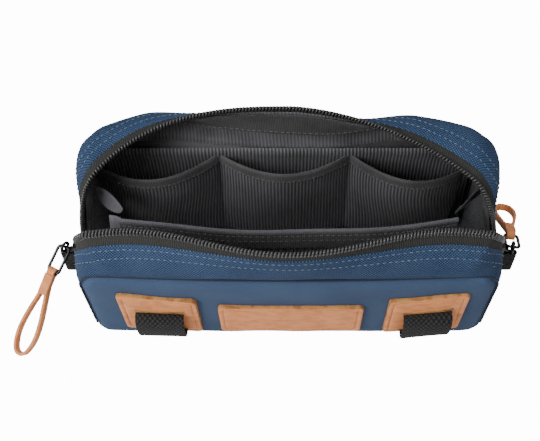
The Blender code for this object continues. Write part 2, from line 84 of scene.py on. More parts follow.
class Field:
    def __init__(self, tree, socket=None):
        self.tree = tree
        self.socket = socket

    def node(self, kind, inputs=None, output=0, **settings):
        made = self.tree.nodes.new(kind)
        for name, value in settings.items():
            setattr(made, name, value)
        for key, value in (inputs or {}).items():
            self.feed(made.inputs[key], value)
        return Field(self.tree, made.outputs[output])

    def feed(self, target, value):
        if isinstance(value, Field):
            self.tree.links.new(value.socket, target)
        else:
            target.default_value = value

    def math(self, operation, *values):
        return self.node("ShaderNodeMath", dict(enumerate(values)), operation=operation)

    def __add__(self, other):
        return self.math("ADD", self, other)

    def __sub__(self, other):
        return self.math("SUBTRACT", self, other)

    def __rsub__(self, other):
        return self.math("SUBTRACT", other, self)

    def __mul__(self, other):
        return self.math("MULTIPLY", self, other)

    __radd__ = __add__
    __rmul__ = __mul__


def newMaterial(name):
    material = bpy.data.materials.new(name)
    material.use_nodes = True
    tree = material.node_tree
    return material, Field(tree), tree.nodes["Principled BSDF"]


def mixColour(field, factor, low, high):
    inputs = {0: factor, 6: low, 7: high}
    return field.node("ShaderNodeMix", inputs, output=2, data_type="RGBA")


def noise(field, where, scale, detail=3):
    inputs = {"Vector": where, "Scale": scale, "Detail": detail}
    return field.node("ShaderNodeTexNoise", inputs)


def ramp(field, value, low, high):
    inputs = {"Value": value, "From Min": low, "From Max": high}
    return field.node("ShaderNodeMapRange", inputs)


def bump(field, height, strength, distance):
    inputs = {"Height": height, "Strength": strength, "Distance": distance}
    return field.node("ShaderNodeBump", inputs)


def acrossAndAlong(field):
    across = field.node("ShaderNodeSeparateXYZ", {0: field.node("ShaderNodeUVMap")})
    return across, Field(field.tree, across.socket.node.outputs[1])


def clothMaterial(name, values):
    # A weave's threads are the product of two sine waves across and along the cloth. Ribs are one
    # wave across it, which a broad noise makes waver. Height is the threads plus fine noise, and
    # the shade follows the height and the broad noise.
    material, field, shader = newMaterial(name)
    across, along = acrossAndAlong(field)
    place = field.node("ShaderNodeTexCoord", output=3)
    patchy = noise(field, place, values["patchScale"])
    turn = 2 * math.pi / values["period"]
    if "waver" in values:
        threads = field.math("SINE", across * turn + (patchy - 0.5) * values["waver"])
        valley = -0.6
    else:
        threads = field.math("SINE", across * turn) * field.math("SINE", along * turn)
        valley = -0.2
    fine = noise(field, place, values["fineScale"])
    height = threads + (fine - 0.5) * values["uneven"]
    raised = ramp(field, height, valley, 1.0)
    shade = raised * values["contrast"] + (patchy - 0.5) * values["patchy"] + values["level"]
    colour = mixColour(field, shade, (*values["dark"], 1), (*values["light"], 1))
    field.feed(shader.inputs["Base Color"], colour)
    field.feed(shader.inputs["Normal"], bump(field, height, values["bump"], values["depth"]))
    shader.inputs["Roughness"].default_value = values["roughness"]
    shader.inputs["Sheen Weight"].default_value = values["sheen"]
    shader.inputs["Specular IOR Level"].default_value = values["gloss"]
    return material


def leatherMaterial(name, values):
    # Creases are noise stretched along the hide, and pores a fine noise on top.
    material, field, shader = newMaterial(name)
    place = field.node("ShaderNodeTexCoord", output=3)
    stretched = field.node("ShaderNodeMapping", {"Vector": place, "Scale": values["stretch"]})
    creases = noise(field, stretched, values["creaseScale"], 5)
    pores = noise(field, place, values["poreScale"])
    cloud = noise(field, place, values["cloudScale"])
    dark = ramp(field, creases, 0.45, 0.62)
    shade = dark * values["creased"] + (cloud - 0.5) * values["cloudy"] + pores * 0.2 + values["level"]
    colour = mixColour(field, shade, (*values["light"], 1), (*values["dark"], 1))
    field.feed(shader.inputs["Base Color"], colour)
    height = creases * -1.0 + pores * 0.3
    field.feed(shader.inputs["Normal"], bump(field, height, values["bump"], values["depth"]))
    shader.inputs["Roughness"].default_value = values["roughness"]
    shader.inputs["Specular IOR Level"].default_value = values["gloss"]
    return material


def plainMaterial(name, values):
    material, field, shader = newMaterial(name)
    place = field.node("ShaderNodeTexCoord", output=3)
    speck = noise(field, place, values["speckScale"])
    colour = mixColour(field, speck, (*values["dark"], 1), (*values["light"], 1))
    field.feed(shader.inputs["Base Color"], colour)
    field.feed(shader.inputs["Normal"], bump(field, speck, values["bump"], 0.0002))
    shader.inputs["Roughness"].default_value = values["roughness"]
    shader.inputs["Metallic"].default_value = values["metallic"]
    return material


bandCloth = clothMaterial("bandCloth", {
    "period": 0.0016, "dark": (0.010, 0.026, 0.064), "light": (0.125, 0.19, 0.32),
    "level": 0.05, "contrast": 0.55, "patchy": 0.25, "uneven": 0.5,
    "patchScale": 40, "fineScale": 900, "bump": 0.55, "depth": 0.0004,
    "roughness": 0.75, "sheen": 0.0, "gloss": 0.1,
})
panelCloth = clothMaterial("panelCloth", {
    "period": 0.0014, "dark": (0.022, 0.042, 0.09), "light": (0.12, 0.175, 0.28),
    "level": 0.22, "contrast": 0.2, "patchy": 0.3, "uneven": 0.5,
    "patchScale": 30, "fineScale": 900, "bump": 0.25, "depth": 0.0003,
    "roughness": 0.75, "sheen": 0.0, "gloss": 0.1,
})
liningCloth = clothMaterial("liningCloth", {
    "period": 0.0019, "dark": (0.011, 0.011, 0.012),
    "light": (0.19, 0.19, 0.205), "level": 0.1, "contrast": 0.5, "patchy": 0.4,
    "uneven": 0.9, "waver": 0.8, "patchScale": 35, "fineScale": 1200, "bump": 0.5,
    "depth": 0.0003, "roughness": 0.55, "sheen": 0.1, "gloss": 0.4,
})
darkLining = clothMaterial("darkLining", {
    "period": 0.0011, "dark": (0.012, 0.011, 0.011),
    "light": (0.09, 0.085, 0.085), "level": 0.2, "contrast": 0.2, "patchy": 0.7,
    "uneven": 0.9, "waver": 0.8, "patchScale": 45, "fineScale": 1200, "bump": 0.2,
    "depth": 0.0002, "roughness": 0.5, "sheen": 0.1, "gloss": 0.5,
})
# Lining with a satin gloss whose colour is a lighter copy of the lining cloth: painted light for the rear
# end lining, which the lamps leave in shade.
paintedLitLining = clothMaterial("paintedLitLining", {
    "period": 0.0019, "dark": (0.03, 0.03, 0.033),
    "light": (0.24, 0.24, 0.26), "level": 0.2, "contrast": 0.25, "patchy": 0.7,
    "uneven": 0.9, "waver": 1.2, "patchScale": 50, "fineScale": 1200, "bump": 0.4,
    "depth": 0.0003, "roughness": 0.42, "sheen": 0.1, "gloss": 0.6,
})
fineRib = {
    "period": 0.0009, "patchy": 0.6, "uneven": 1.2, "waver": 0.5, "patchScale": 60,
    "fineScale": 1500, "bump": 0.4, "depth": 0.0002, "sheen": 0.15, "gloss": 0.3,
}
bindingCloth = clothMaterial("bindingCloth", {
    **fineRib, "dark": (0.016, 0.016, 0.016), "light": (0.12, 0.12, 0.123),
    "level": 0.12, "contrast": 0.4, "roughness": 0.7,
})
# A lighter grey copy of the black binding cloth: painted light on binding edges that face the lamps.
paintedLitBinding = clothMaterial("paintedLitBinding", {
    **fineRib, "dark": (0.055, 0.055, 0.062), "light": (0.16, 0.16, 0.175),
    "level": 0.2, "contrast": 0.3, "roughness": 0.75,
})
tapeCloth = clothMaterial("tapeCloth", {
    "period": 0.0011, "dark": (0.022, 0.022, 0.021),
    "light": (0.06, 0.06, 0.057), "level": 0.08, "contrast": 0.35, "patchy": 0.2,
    "uneven": 1.0, "waver": 0.3, "patchScale": 60, "fineScale": 1500, "bump": 0.5,
    "depth": 0.0003, "roughness": 0.8, "sheen": 0.0, "gloss": 0.15,
})
webbingCloth = clothMaterial("webbingCloth", {
    "period": 0.0026, "dark": (0.006, 0.006, 0.006), "light": (0.06, 0.06, 0.06),
    "level": 0.1, "contrast": 0.5, "patchy": 0.2, "uneven": 0.8,
    "patchScale": 80, "fineScale": 1300, "bump": 0.8, "depth": 0.0005,
    "roughness": 0.75, "sheen": 0.0, "gloss": 0.2,
})
coilNylon = plainMaterial("coilNylon", {
    "dark": (0.03, 0.03, 0.03), "light": (0.06, 0.06, 0.06), "speckScale": 500,
    "bump": 0.05, "roughness": 0.2, "metallic": 0.0,
})
thread = {"speckScale": 900, "bump": 0.2, "roughness": 0.6, "metallic": 0.0}
threadBlue = plainMaterial("threadBlue", {
    **thread, "dark": (0.08, 0.12, 0.18), "light": (0.15, 0.205, 0.3),
})
# seamShade: near-black blue for the seam cords, painted shadow in the groove between panel and band.
seamShade = plainMaterial("seamShade", {
    **thread, "dark": (0.006, 0.011, 0.022), "light": (0.012, 0.022, 0.042), "roughness": 0.85,
})
threadGrey = plainMaterial("threadGrey", {
    **thread, "dark": (0.07, 0.07, 0.07), "light": (0.16, 0.16, 0.16),
})
blackMetal = plainMaterial("blackMetal", {
    "dark": (0.02, 0.02, 0.02), "light": (0.05, 0.05, 0.05), "speckScale": 300,
    "bump": 0.05, "roughness": 0.32, "metallic": 0.9,
})
leatherFace = leatherMaterial("leatherFace", {
    "stretch": (150, 150, 230), "creaseScale": 1.0, "poreScale": 900, "cloudScale": 45,
    "light": (0.78, 0.295, 0.112), "dark": (0.36, 0.11, 0.033), "creased": 0.3,
    "cloudy": 0.4, "level": 0.0, "bump": 0.45, "depth": 0.0005, "roughness": 0.6,
    "gloss": 0.2,
})
cutLeather = {
    "creaseScale": 1.0, "poreScale": 1500, "cloudScale": 120, "cloudy": 0.5, "bump": 0.8,
    "depth": 0.0006,
}
leatherEdge = leatherMaterial("leatherEdge", {
    **cutLeather, "stretch": (300, 300, 300), "light": (0.6, 0.27, 0.085),
    "dark": (0.22, 0.085, 0.025), "creased": 0.5, "level": 0.1, "roughness": 0.8, "gloss": 0.2,
})
leatherRaw = leatherMaterial("leatherRaw", {
    **cutLeather, "stretch": (120, 200, 700), "light": (0.55, 0.25, 0.07),
    "dark": (0.12, 0.045, 0.012), "creased": 0.7, "level": 0.0, "roughness": 0.6, "gloss": 0.3,
})
print("materials made")


def smooth(t):
    t = np.clip(t, 0, 1)
    return t * t * (3 - 2 * t)


def unit(v):
    return v / np.maximum(np.linalg.norm(v, axis=-1, keepdims=True), 1e-12)


def quads(rows, cols, closeRows=False, closeCols=False):
    index = np.arange(rows * cols).reshape(rows, cols)
    if closeRows:
        index = np.vstack([index, index[:1]])
    if closeCols:
        index = np.hstack([index, index[:, :1]])
    corners = (index[:-1, :-1], index[:-1, 1:], index[1:, 1:], index[1:, :-1])
    return np.stack([c.ravel() for c in corners], axis=1)


def toObject(name, points, faces, materials, uv=None, slots=None, sharp=None):
    mesh = bpy.data.meshes.new(name)
    mesh.from_pydata(np.asarray(points).reshape(-1, 3).tolist(), [], [list(map(int, f)) for f in faces])
    if uv is not None:
        layer = mesh.uv_layers.new(name="UVMap")
        corner = np.zeros(len(mesh.loops), int)
        mesh.loops.foreach_get("vertex_index", corner)
        layer.data.foreach_set("uv", np.asarray(uv).reshape(-1, 2)[corner].ravel())
    for material in materials:
        mesh.materials.append(material)
    if slots is not None:
        mesh.polygons.foreach_set("material_index", np.asarray(slots, int))
    mesh.shade_smooth()
    if sharp:
        mesh.set_sharp_from_angle(angle=math.radians(sharp))
    obj = bpy.data.objects.new(name, mesh)
    bpy.context.scene.collection.objects.link(obj)
    return obj


def gridNormal(grid, inside):
    # The normal is the cross product of the two directions of the grid, turned away from inside.
    normal = unit(np.cross(np.gradient(grid, axis=1), np.gradient(grid, axis=0)))
    facing = np.sign((normal * (grid - inside)).sum())
    return normal * facing, facing


def arcLengths(grid):
    step = np.linalg.norm(np.diff(grid, axis=1), axis=2)
    across = np.hstack([np.zeros((grid.shape[0], 1)), np.cumsum(step, axis=1)])
    across -= across[:, grid.shape[1] // 2][:, None]
    step = np.linalg.norm(np.diff(grid, axis=0), axis=2)
    along = np.vstack([np.zeros((1, grid.shape[1])), np.cumsum(step, axis=0)])
    return np.stack([across, along], axis=2)


def clothObject(name, grid, thick, materials, inside):
    # Outer rows, a rounded edge, the same rows moved inwards by the thickness, and the other edge.
    normal, facing = gridNormal(grid, inside)
    inner = grid - normal * thick
    middle = (grid + inner) / 2
    upper = unit(grid[-1:] - grid[-2:-1]) * thick / 2 + middle[-1:]
    lower = unit(grid[:1] - grid[1:2]) * thick / 2 + middle[:1]
    points = np.concatenate([grid, upper, inner[::-1], lower])
    uv = arcLengths(grid)
    mapped = np.concatenate([uv, uv[-1:], uv[::-1], uv[:1]])
    rows, cols = grid.shape[:2]
    total = 2 * rows + 2
    faces = quads(total, cols, closeRows=True)
    faces = (faces[:, ::-1] if facing > 0 else faces).tolist()
    slots = np.zeros((total, cols - 1), int)
    slots[rows + 1:total - 1] = len(materials) - 1
    index = np.arange(total * cols).reshape(total, cols)
    caps = []
    for c in (0, cols - 1):
        top = index[:rows, c]
        low = index[rows + 1:total - 1, c][::-1]
        strip = np.stack([top[:-1], top[1:], low[1:], low[:-1]], axis=1).tolist()
        strip += [(top[-1], index[rows, c], low[-1]), (low[0], index[total - 1, c], top[0])]
        caps += strip if c == 0 else [f[::-1] for f in strip]
    slots = np.concatenate([slots.ravel(), np.zeros(len(caps), int)])
    return outwards(toObject(name, points, faces + caps, materials, mapped, slots, sharp=60))


def outwards(obj):
    shape = bmesh.new()
    shape.from_mesh(obj.data)
    bmesh.ops.recalc_face_normals(shape, faces=shape.faces)
    shape.to_mesh(obj.data)
    shape.free()
    return obj


def runLengths(path):
    return np.concatenate([[0], np.cumsum(np.linalg.norm(np.diff(path, axis=0), axis=1))])


def valuesAt(path, at, values):
    return np.stack([np.interp(at, runLengths(path), values[:, k]) for k in range(3)], axis=-1)


def resampled(path, at):
    return valuesAt(path, at, path)


def pathLength(path):
    return runLengths(path)[-1]


def sweepObject(name, path, across, section, materials, closed=False, sharp=40):
    # Each point is the path's point plus the section laid along across and along tangent x across.
    path = np.asarray(path, float)
    if closed:
        tangent = unit(np.roll(path, -1, axis=0) - np.roll(path, 1, axis=0))
    else:
        tangent = unit(np.gradient(path, axis=0))
    across = np.broadcast_to(np.asarray(across, float), path.shape)
    across = unit(across - tangent * (across * tangent).sum(axis=1, keepdims=True))
    normal = np.cross(tangent, across)
    section = np.asarray(section, float)
    points = path[:, None] + across[:, None] * section[None, :, :1] + normal[:, None] * section[None, :, 1:]
    count, sides = len(path), len(section)
    faces = [list(f) for f in quads(count, sides, closeRows=closed, closeCols=True)]
    if not closed:
        faces += [list(range(sides))[::-1], [(count - 1) * sides + k for k in range(sides)]]
    uv = np.stack(np.meshgrid(section[:, 0], runLengths(path)), axis=2)
    return outwards(toObject(name, points, faces, materials, uv, sharp=sharp))


def roundSection(radius, sides):
    turn = 2 * math.pi * np.arange(sides) / sides
    return np.stack([np.cos(turn), np.sin(turn)], axis=1) * radius


def strapSection(width, thick, corner, steps=3):
    turn = np.linspace(0, math.pi / 2, steps)
    arc = np.stack([np.cos(turn), np.sin(turn)], axis=1) * corner
    w, t = width / 2 - corner, thick / 2 - corner
    parts = []
    for sx, sy in ((1, 1), (-1, 1), (-1, -1), (1, -1)):
        quarter = arc * (sx, sy) + (sx * w, sy * t)
        parts.append(quarter if sx * sy > 0 else quarter[::-1])
    return np.concatenate(parts)


def stitchRow(name, path, normal, values, material):
    # One small ellipsoid for each stitch, set along the path at even steps and turned by its slant.
    length, gap, radius = values["length"], values["gap"], values["radius"]
    slant = math.radians(values.get("slant", 0))
    total = pathLength(path)
    at = np.arange(gap, total - length, length + gap)
    centre = resampled(path, at + length / 2)
    tangent = unit(resampled(path, at + length) - resampled(path, at))
    up = unit(valuesAt(path, at, normal))
    side = unit(np.cross(up, tangent))
    lead = tangent * math.cos(slant) + side * math.sin(slant)
    side = np.cross(up, lead)
    rings, sides = 5, 6
    lat = np.linspace(-math.pi / 2, math.pi / 2, rings)
    lon = 2 * math.pi * np.arange(sides) / sides
    x = np.sin(lat)[:, None] + 0 * lon
    y = np.cos(lat)[:, None] * np.cos(lon)
    z = np.cos(lat)[:, None] * np.sin(lon)
    local = np.stack([x * length / 2, y * radius, z * radius], axis=2).reshape(-1, 3)
    points = (centre[:, None] + lead[:, None] * local[None, :, :1]
              + side[:, None] * local[None, :, 1:2] + up[:, None] * local[None, :, 2:])
    faces = quads(rings, sides, closeCols=True)
    every = (faces[None] + (np.arange(len(at)) * rings * sides)[:, None, None]).reshape(-1, 4)
    return toObject(name, points, every, [material])


def coilObject(name, path, normal, values, material):
    # An elliptical helix: path + across * a cos(turn) + normal * b sin(turn).
    total = pathLength(path)
    turns = int(total / values["pitch"])
    steps = values["steps"]
    at = np.linspace(0, total, turns * steps + 1)
    centre = resampled(path, at)
    tangent = unit(np.gradient(centre, axis=0))
    up = valuesAt(path, at, normal)
    up = unit(up - tangent * (up * tangent).sum(axis=1, keepdims=True))
    side = np.cross(tangent, up)
    turn = 2 * math.pi * np.arange(len(at)) / steps
    line = centre + side * np.cos(turn)[:, None] * values["across"]
    line += up * np.sin(turn)[:, None] * values["high"]
    return sweepObject(name, line, tangent, roundSection(values["wire"], 5), [material], sharp=None)


# Walls: a rounded foot, a lean and a bow, as the CAD panels have them.
walls = {
    "frontFoot": -30 * mm, "frontRound": 10 * mm, "frontLean": 0.08, "frontBow": 3.5 * mm,
    "rearFoot": 30 * mm, "rearRound": 6 * mm, "rearLean": 0.035,
    "seamHeight": 70.3 * mm, "frontReach": 105.0 * mm, "rearReach": 105.5 * mm,
    "corner": 12.3 * mm, "endWidth": 111.2 * mm, "endY": -8 * mm, "zipEnd": 43 * mm,
}


def frontWall(x, z):
    low = np.minimum(z, 12 * mm) / (12 * mm)
    foot = walls["frontRound"] * np.sqrt(np.maximum(1 - (1 - low) ** 2, 0))
    lean = walls["frontLean"] * np.maximum(z - 12 * mm, 0)
    bow = walls["frontBow"] * (1 - (x / (106 * mm)) ** 2) * np.minimum(1, z / (68 * mm))
    return walls["frontFoot"] - foot - lean - bow


def rearWall(x, z):
    low = np.minimum(z, 8 * mm) / (8 * mm)
    foot = walls["rearRound"] * np.sqrt(np.maximum(1 - (1 - low) ** 2, 0))
    return walls["rearFoot"] + foot + walls["rearLean"] * z + 0 * x


def seamLine(wall, reach, legCount, upperCount):
    # From the left foot up its leg, over two quarter circles and the top, and down to the right foot.
    corner, top = walls["corner"], walls["seamHeight"]
    turn = np.linspace(0, math.pi / 2, 12)
    legZ = np.linspace(walls["zipEnd"], top - corner, 10)[:-1]
    x = np.concatenate([np.full(9, reach), reach - corner + corner * np.cos(turn)])
    z = np.concatenate([legZ, top - corner + corner * np.sin(turn)])
    topX = np.linspace(reach - corner, corner - reach, 60)[1:-1]
    x = np.concatenate([-x, -topX, x[::-1]])
    z = np.concatenate([z, np.full(58, top), z[::-1]])
    line = np.stack([x, wall(x, z), z], axis=1)
    upper = resampled(line, np.linspace(0, pathLength(line), upperCount))
    legs = np.linspace(0, walls["zipEnd"], legCount, endpoint=False)
    left = np.stack([0 * legs - reach, wall(reach + 0 * legs, legs), legs], axis=1)
    right = left[::-1] * (-1, 1, 1)
    return left, upper, right


def bezier(p0, p1, p2, p3, count):
    t = np.linspace(0, 1, count)[:, None]
    p0, p1, p2, p3 = (np.asarray(p, float) for p in (p0, p1, p2, p3))
    return (1 - t) ** 3 * p0 + 3 * t * (1 - t) ** 2 * p1 + 3 * t**2 * (1 - t) * p2 + t**3 * p3


def frontRim(count):
    # Across: a forward bow of cos squared and a parabolic drop. Ends: a curve down to the zip's end.
    end = 98 * mm
    x = np.linspace(end, -end, 80)
    bow = np.cos(np.minimum(np.abs(x) / (88 * mm), 1) * math.pi / 2) ** 2
    z = 100 * mm - 10 * mm * (x / end) ** 2
    across = np.stack([-x, -32.5 * mm - 18 * mm * bow, z], axis=1)
    start = np.array([-walls["endWidth"], walls["endY"], walls["zipEnd"]])
    outer = (-103.5 * mm, -33 * mm, 86.5 * mm)
    branch = bezier(start, start + (0, -10 * mm, 22 * mm), outer, across[0], 30)[:-1]
    line = np.concatenate([branch, across, (branch * (-1, 1, 1))[::-1]])
    return resampled(line, np.linspace(0, pathLength(line), count))


def rearRim(count):
    # Across: y falls off with a power of x, fuller on the left and slacker on the right.
    rim = {"deep": 46 * mm, "high": 102 * mm, "drop": 9 * mm}
    left = np.linspace(-97 * mm, 0, 60)
    right = np.linspace(0, 92 * mm, 60)[1:]
    yLeft = walls["endY"] + rim["deep"] * (1 - (-left / (110 * mm)) ** 2.7)
    yRight = walls["endY"] + rim["deep"] * (1 - (right / (105 * mm)) ** 1.65)
    zLeft = rim["high"] - rim["drop"] * (-left / (97 * mm)) ** 6
    zRight = rim["high"] - rim["drop"] * (right / (92 * mm)) ** 4
    x = np.concatenate([left, right])
    across = np.stack([x, np.concatenate([yLeft, yRight]), np.concatenate([zLeft, zRight])], axis=1)
    start = np.array([-walls["endWidth"], walls["endY"], walls["zipEnd"]])
    outLeft = across[0] + (-8.2 * mm, -7.5 * mm, -4.6 * mm)
    outRight = across[-1] + (9.5 * mm, -6.3 * mm, -3.7 * mm)
    one = bezier(start, start + (0, 6 * mm, 22 * mm), outLeft, across[0], 30)[:-1]
    two = bezier(across[-1], outRight, (109.5 * mm, -12 * mm, 64 * mm), start * (-1, 1, 1), 30)[1:]
    line = np.concatenate([one, across, two])
    return resampled(line, np.linspace(0, pathLength(line), count))


def stripBetween(seam, edge, shares, puff, groove, inset=0.0, rim=0.0):
    # seam + (edge - seam) w + outward (puff (4 w (1 - w))^0.8 - groove exp(-distance / 2 mm)
    # - inset - rim exp(-distance / 4 mm))
    width = np.linalg.norm(edge - seam, axis=1)
    tangent = unit(np.gradient(seam, axis=0))
    out = unit(np.cross(edge - seam, tangent))
    middle = (seam + edge) / 2
    out *= np.sign((out * (middle - np.array([0, 0, 45 * mm]))).sum(axis=1, keepdims=True))
    # Low on the ends the strip faces straight sideways; round the corners it leans a little that way.
    sideways = np.sign(seam[:, :1]) * np.array([1, 0, 0])
    upright = smooth((seam[:, 2:] - 20 * mm) / (25 * mm))
    cornered = smooth(np.linalg.norm((edge - seam)[:, :2], axis=1, keepdims=True) / (30 * mm)) * 0.3
    out = unit(unit(out * upright + sideways * (1 - upright)) + sideways * cornered)
    w = shares[:, :, None]
    distance = w * width[None, :, None]
    raised = puff[None, :, None] * np.maximum(4 * w * (1 - w), 0) ** 0.8
    sunk = groove * np.exp(-np.abs(distance) / (2 * mm)) + rim * np.exp(-np.abs(distance) / (4 * mm))
    return seam + (edge - seam) * w + out * (raised - sunk - inset)


shell = {"legCount": 26, "upperCount": 260, "thick": 1.1 * mm}
halves = {}
for side, wall, reach, rimLine in (
    ("front", frontWall, walls["frontReach"], frontRim(shell["upperCount"])),
    ("rear", rearWall, walls["rearReach"], rearRim(shell["upperCount"])),
):
    left, upper, right = seamLine(wall, reach, shell["legCount"], shell["upperCount"])
    legZ = left[:, 2]
    endLeft = np.stack([0 * legZ - walls["endWidth"], 0 * legZ + walls["endY"], legZ], axis=1)
    seam = np.concatenate([left, upper, right])
    edge = np.concatenate([endLeft, rimLine, endLeft[::-1] * (-1, 1, 1)])
    # The lowest part of each end tucks in under the pouch.
    tuck = 5 * mm * np.clip(1 - seam[:, 2] / (9 * mm), 0, 1) ** 2
    seam[:, 0] -= np.sign(seam[:, 0]) * tuck
    edge[:, 0] -= np.sign(edge[:, 0]) * tuck
    tangent = unit(np.gradient(seam, axis=0))
    top = smooth(1 - np.abs(tangent[:, 2])) * smooth((seam[:, 2] - 45 * mm) / (15 * mm))
    chord = np.linalg.norm(edge - seam, axis=1)
    inset = np.linalg.norm((edge - seam)[:, :2], axis=1)
    lean = 0.4 if side == "rear" else 0.12
    puff = top * chord * (0.02 + lean * smooth(inset / (24 * mm))) + (1 - top) * 1.4 * mm
    halves[side] = {"seam": seam, "edge": edge, "puff": puff, "chord": chord,
                    "upper": slice(shell["legCount"], shell["legCount"] + shell["upperCount"])}
print("shell lines made")

# Each cloth has its thickness on the side of one of these points.
inside, below = np.array([0, 0, 40 * mm]), np.zeros(3)
before, behind = np.array([0, -0.1, 0.04]), np.array([0, 0.1, 0.04])
sideTurn = {
    "front": ((0, -8 * mm, 42 * mm), (0, -24.76 * mm, 46.88 * mm)),
    "rear": ((0, -8 * mm, 42 * mm), (0, 13.55 * mm, 50.62 * mm)),
}


def bendsWith(obj, side):
    start, end = sideTurn[side]
    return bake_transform(obj, "base", side + "_shell", start=start, end=end)


def edgeDistance(side, distance):
    # Share of the strip at this distance from the zip line, shrinking to nothing at the zip's ends.
    half = halves[side]
    count = len(half["seam"])
    rise = np.arange(count) - shell["legCount"]
    fall = shell["legCount"] + shell["upperCount"] - 1 - np.arange(count)
    near = smooth(np.minimum(rise, fall) / 14)
    return 1 - distance * near / half["chord"]


zips = {"front": {"tape": 6.8 * mm, "gap": 0.3 * mm}, "rear": {"tape": 3.4 * mm, "gap": -1.7 * mm}}
coilValues = {"pitch": 1.72 * mm, "steps": 12, "across": 1.2 * mm, "high": 0.75 * mm, "wire": 0.6 * mm,
              "lift": {"front": 0.5 * mm, "rear": -1.0 * mm}, "row": {"front": 8, "rear": 5}}
for side in ("front", "rear"):
    half = halves[side]
    seam, edge, puff = half["seam"], half["edge"], half["puff"]
    upper = half["upper"]
    tape = zips[side]["tape"] + zips[side]["gap"]
    top = edgeDistance(side, tape)
    shares = np.linspace(0, 1, 34)[:, None] ** 1.3 * top
    grid = stripBetween(seam, edge, shares, puff, 3.0 * mm)
    fold = np.sin(grid[..., 0] * 95 + grid[..., 2] * 40) * np.sin(grid[..., 0] * 37 + 1)
    normal, facing = gridNormal(grid, inside)
    calm = np.sin(np.linspace(0, math.pi, 34))[:, None, None]
    grid = grid + normal * (fold[..., None] * 0.35 * mm) * calm
    band = clothObject(side + "Band", grid, shell["thick"], [bandCloth, darkLining], inside)
    bendsWith(band, side)
    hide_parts(side + "_band")
    seamUpper, edgeUpper, puffUpper = seam[upper], edge[upper], puff[upper]
    low = top[upper]
    high = edgeDistance(side, zips[side]["gap"])[upper]
    shares = low + np.array([-0.02, 0.2, 0.4, 0.55, 0.68, 0.78, 0.88, 0.94, 1])[:, None] * (high - low)
    grid = stripBetween(seamUpper, edgeUpper, shares, puffUpper, 0, 0.45 * mm)
    strip = clothObject(side + "Tape", grid, 0.8 * mm, [tapeCloth], inside)
    bendsWith(strip, side)
    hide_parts(side + "_tape")
    # The coil stands on the tape's edge, so its up direction is the strip's outward normal.
    normal, facing = gridNormal(grid, inside)
    row = coilValues["row"][side]
    ridge = grid[row] + normal[row] * coilValues["lift"][side]
    coil = coilObject(side + "Coil", ridge, normal[row], coilValues, coilNylon)
    bendsWith(coil, side)
    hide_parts(side + "_coil")
    half["tapeGrid"] = grid
    half["tapeNormal"] = normal
print("bands, tapes and coils made")

# Two rows of running stitches on each band, and the chevrons that hold the coil to its tape.
rowValues = {"length": 1.9 * mm, "gap": 1.1 * mm, "radius": 0.24 * mm}
for side, distances in (("front", (2.2 * mm, 7.0 * mm)), ("rear", (3.0 * mm, 7.0 * mm))):
    half = halves[side]
    tape = zips[side]["tape"] + zips[side]["gap"]
    for number, distance in enumerate(distances):
        share = edgeDistance(side, tape + distance)
        rows = np.stack([share - 0.01, share, share + 0.01])
        grid = stripBetween(half["seam"], half["edge"], rows, half["puff"], 0)
        normal, facing = gridNormal(grid, inside)
        keep = slice(shell["legCount"] + 18, shell["legCount"] + shell["upperCount"] - 18)
        line = (grid + normal * 0.1 * mm)[1][keep]
        row = stitchRow(f"{side}Stitches{number}", line, normal[1][keep], rowValues, threadBlue)
        bendsWith(row, side)
for number, slant in enumerate((38, -38)):
    half = halves["front"]
    grid, normal = half["tapeGrid"], half["tapeNormal"]
    line = grid[6 - number] + normal[6 - number] * 0.1 * mm
    chevron = {"length": 1.5 * mm, "gap": 0.22 * mm, "radius": 0.36 * mm, "slant": slant}
    row = stitchRow(f"coilStitches{number}", line, normal[6 - number], chevron, threadGrey)
    bendsWith(row, "front")
print("stitches made")


def panelGrid(wall, reach, puff, rows, cols):
    # Rows up the panel, narrowing with its two quarter-circle corners; it swells away from its edges.
    corner, top = walls["corner"] - 0.6 * mm, walls["seamHeight"] - 0.5 * mm
    turn = np.linspace(0, math.pi / 2, 14)
    heights = np.concatenate([np.linspace(0, 1, 12) ** 1.6 * 14 * mm,
                              np.linspace(14 * mm, top - corner, rows)[1:],
                              top - corner + corner * np.sin(turn)[1:]])
    rise = np.clip(heights - (top - corner), 0, corner) / corner
    half = reach - corner + corner * np.sqrt(np.maximum(1 - rise**2, 0))
    half -= 5 * mm * np.clip(1 - heights / (9 * mm), 0, 1) ** 2
    share = np.sin(np.linspace(-1, 1, cols) * math.pi / 2) * 0.5 + np.linspace(-1, 1, cols) * 0.5
    x = half[:, None] * share
    z = heights[:, None] + 0 * share
    edgeX = half[:, None] - np.abs(x)
    edgeZ = top - z
    away = np.minimum(edgeX, edgeZ)
    swell = puff * (1 - np.exp(-away / (3 * mm))) - 3.0 * mm * np.exp(-away / (1.5 * mm))
    swell = swell * smooth(z / (6 * mm))
    y = wall(x, z)
    sign = np.sign(y.mean())
    return np.stack([x, y + sign * swell, z], axis=2)


panelValues = {"puff": 1.6 * mm, "thick": 2.2 * mm}
grid = panelGrid(frontWall, walls["frontReach"] - 0.8 * mm, panelValues["puff"], 30, 140)
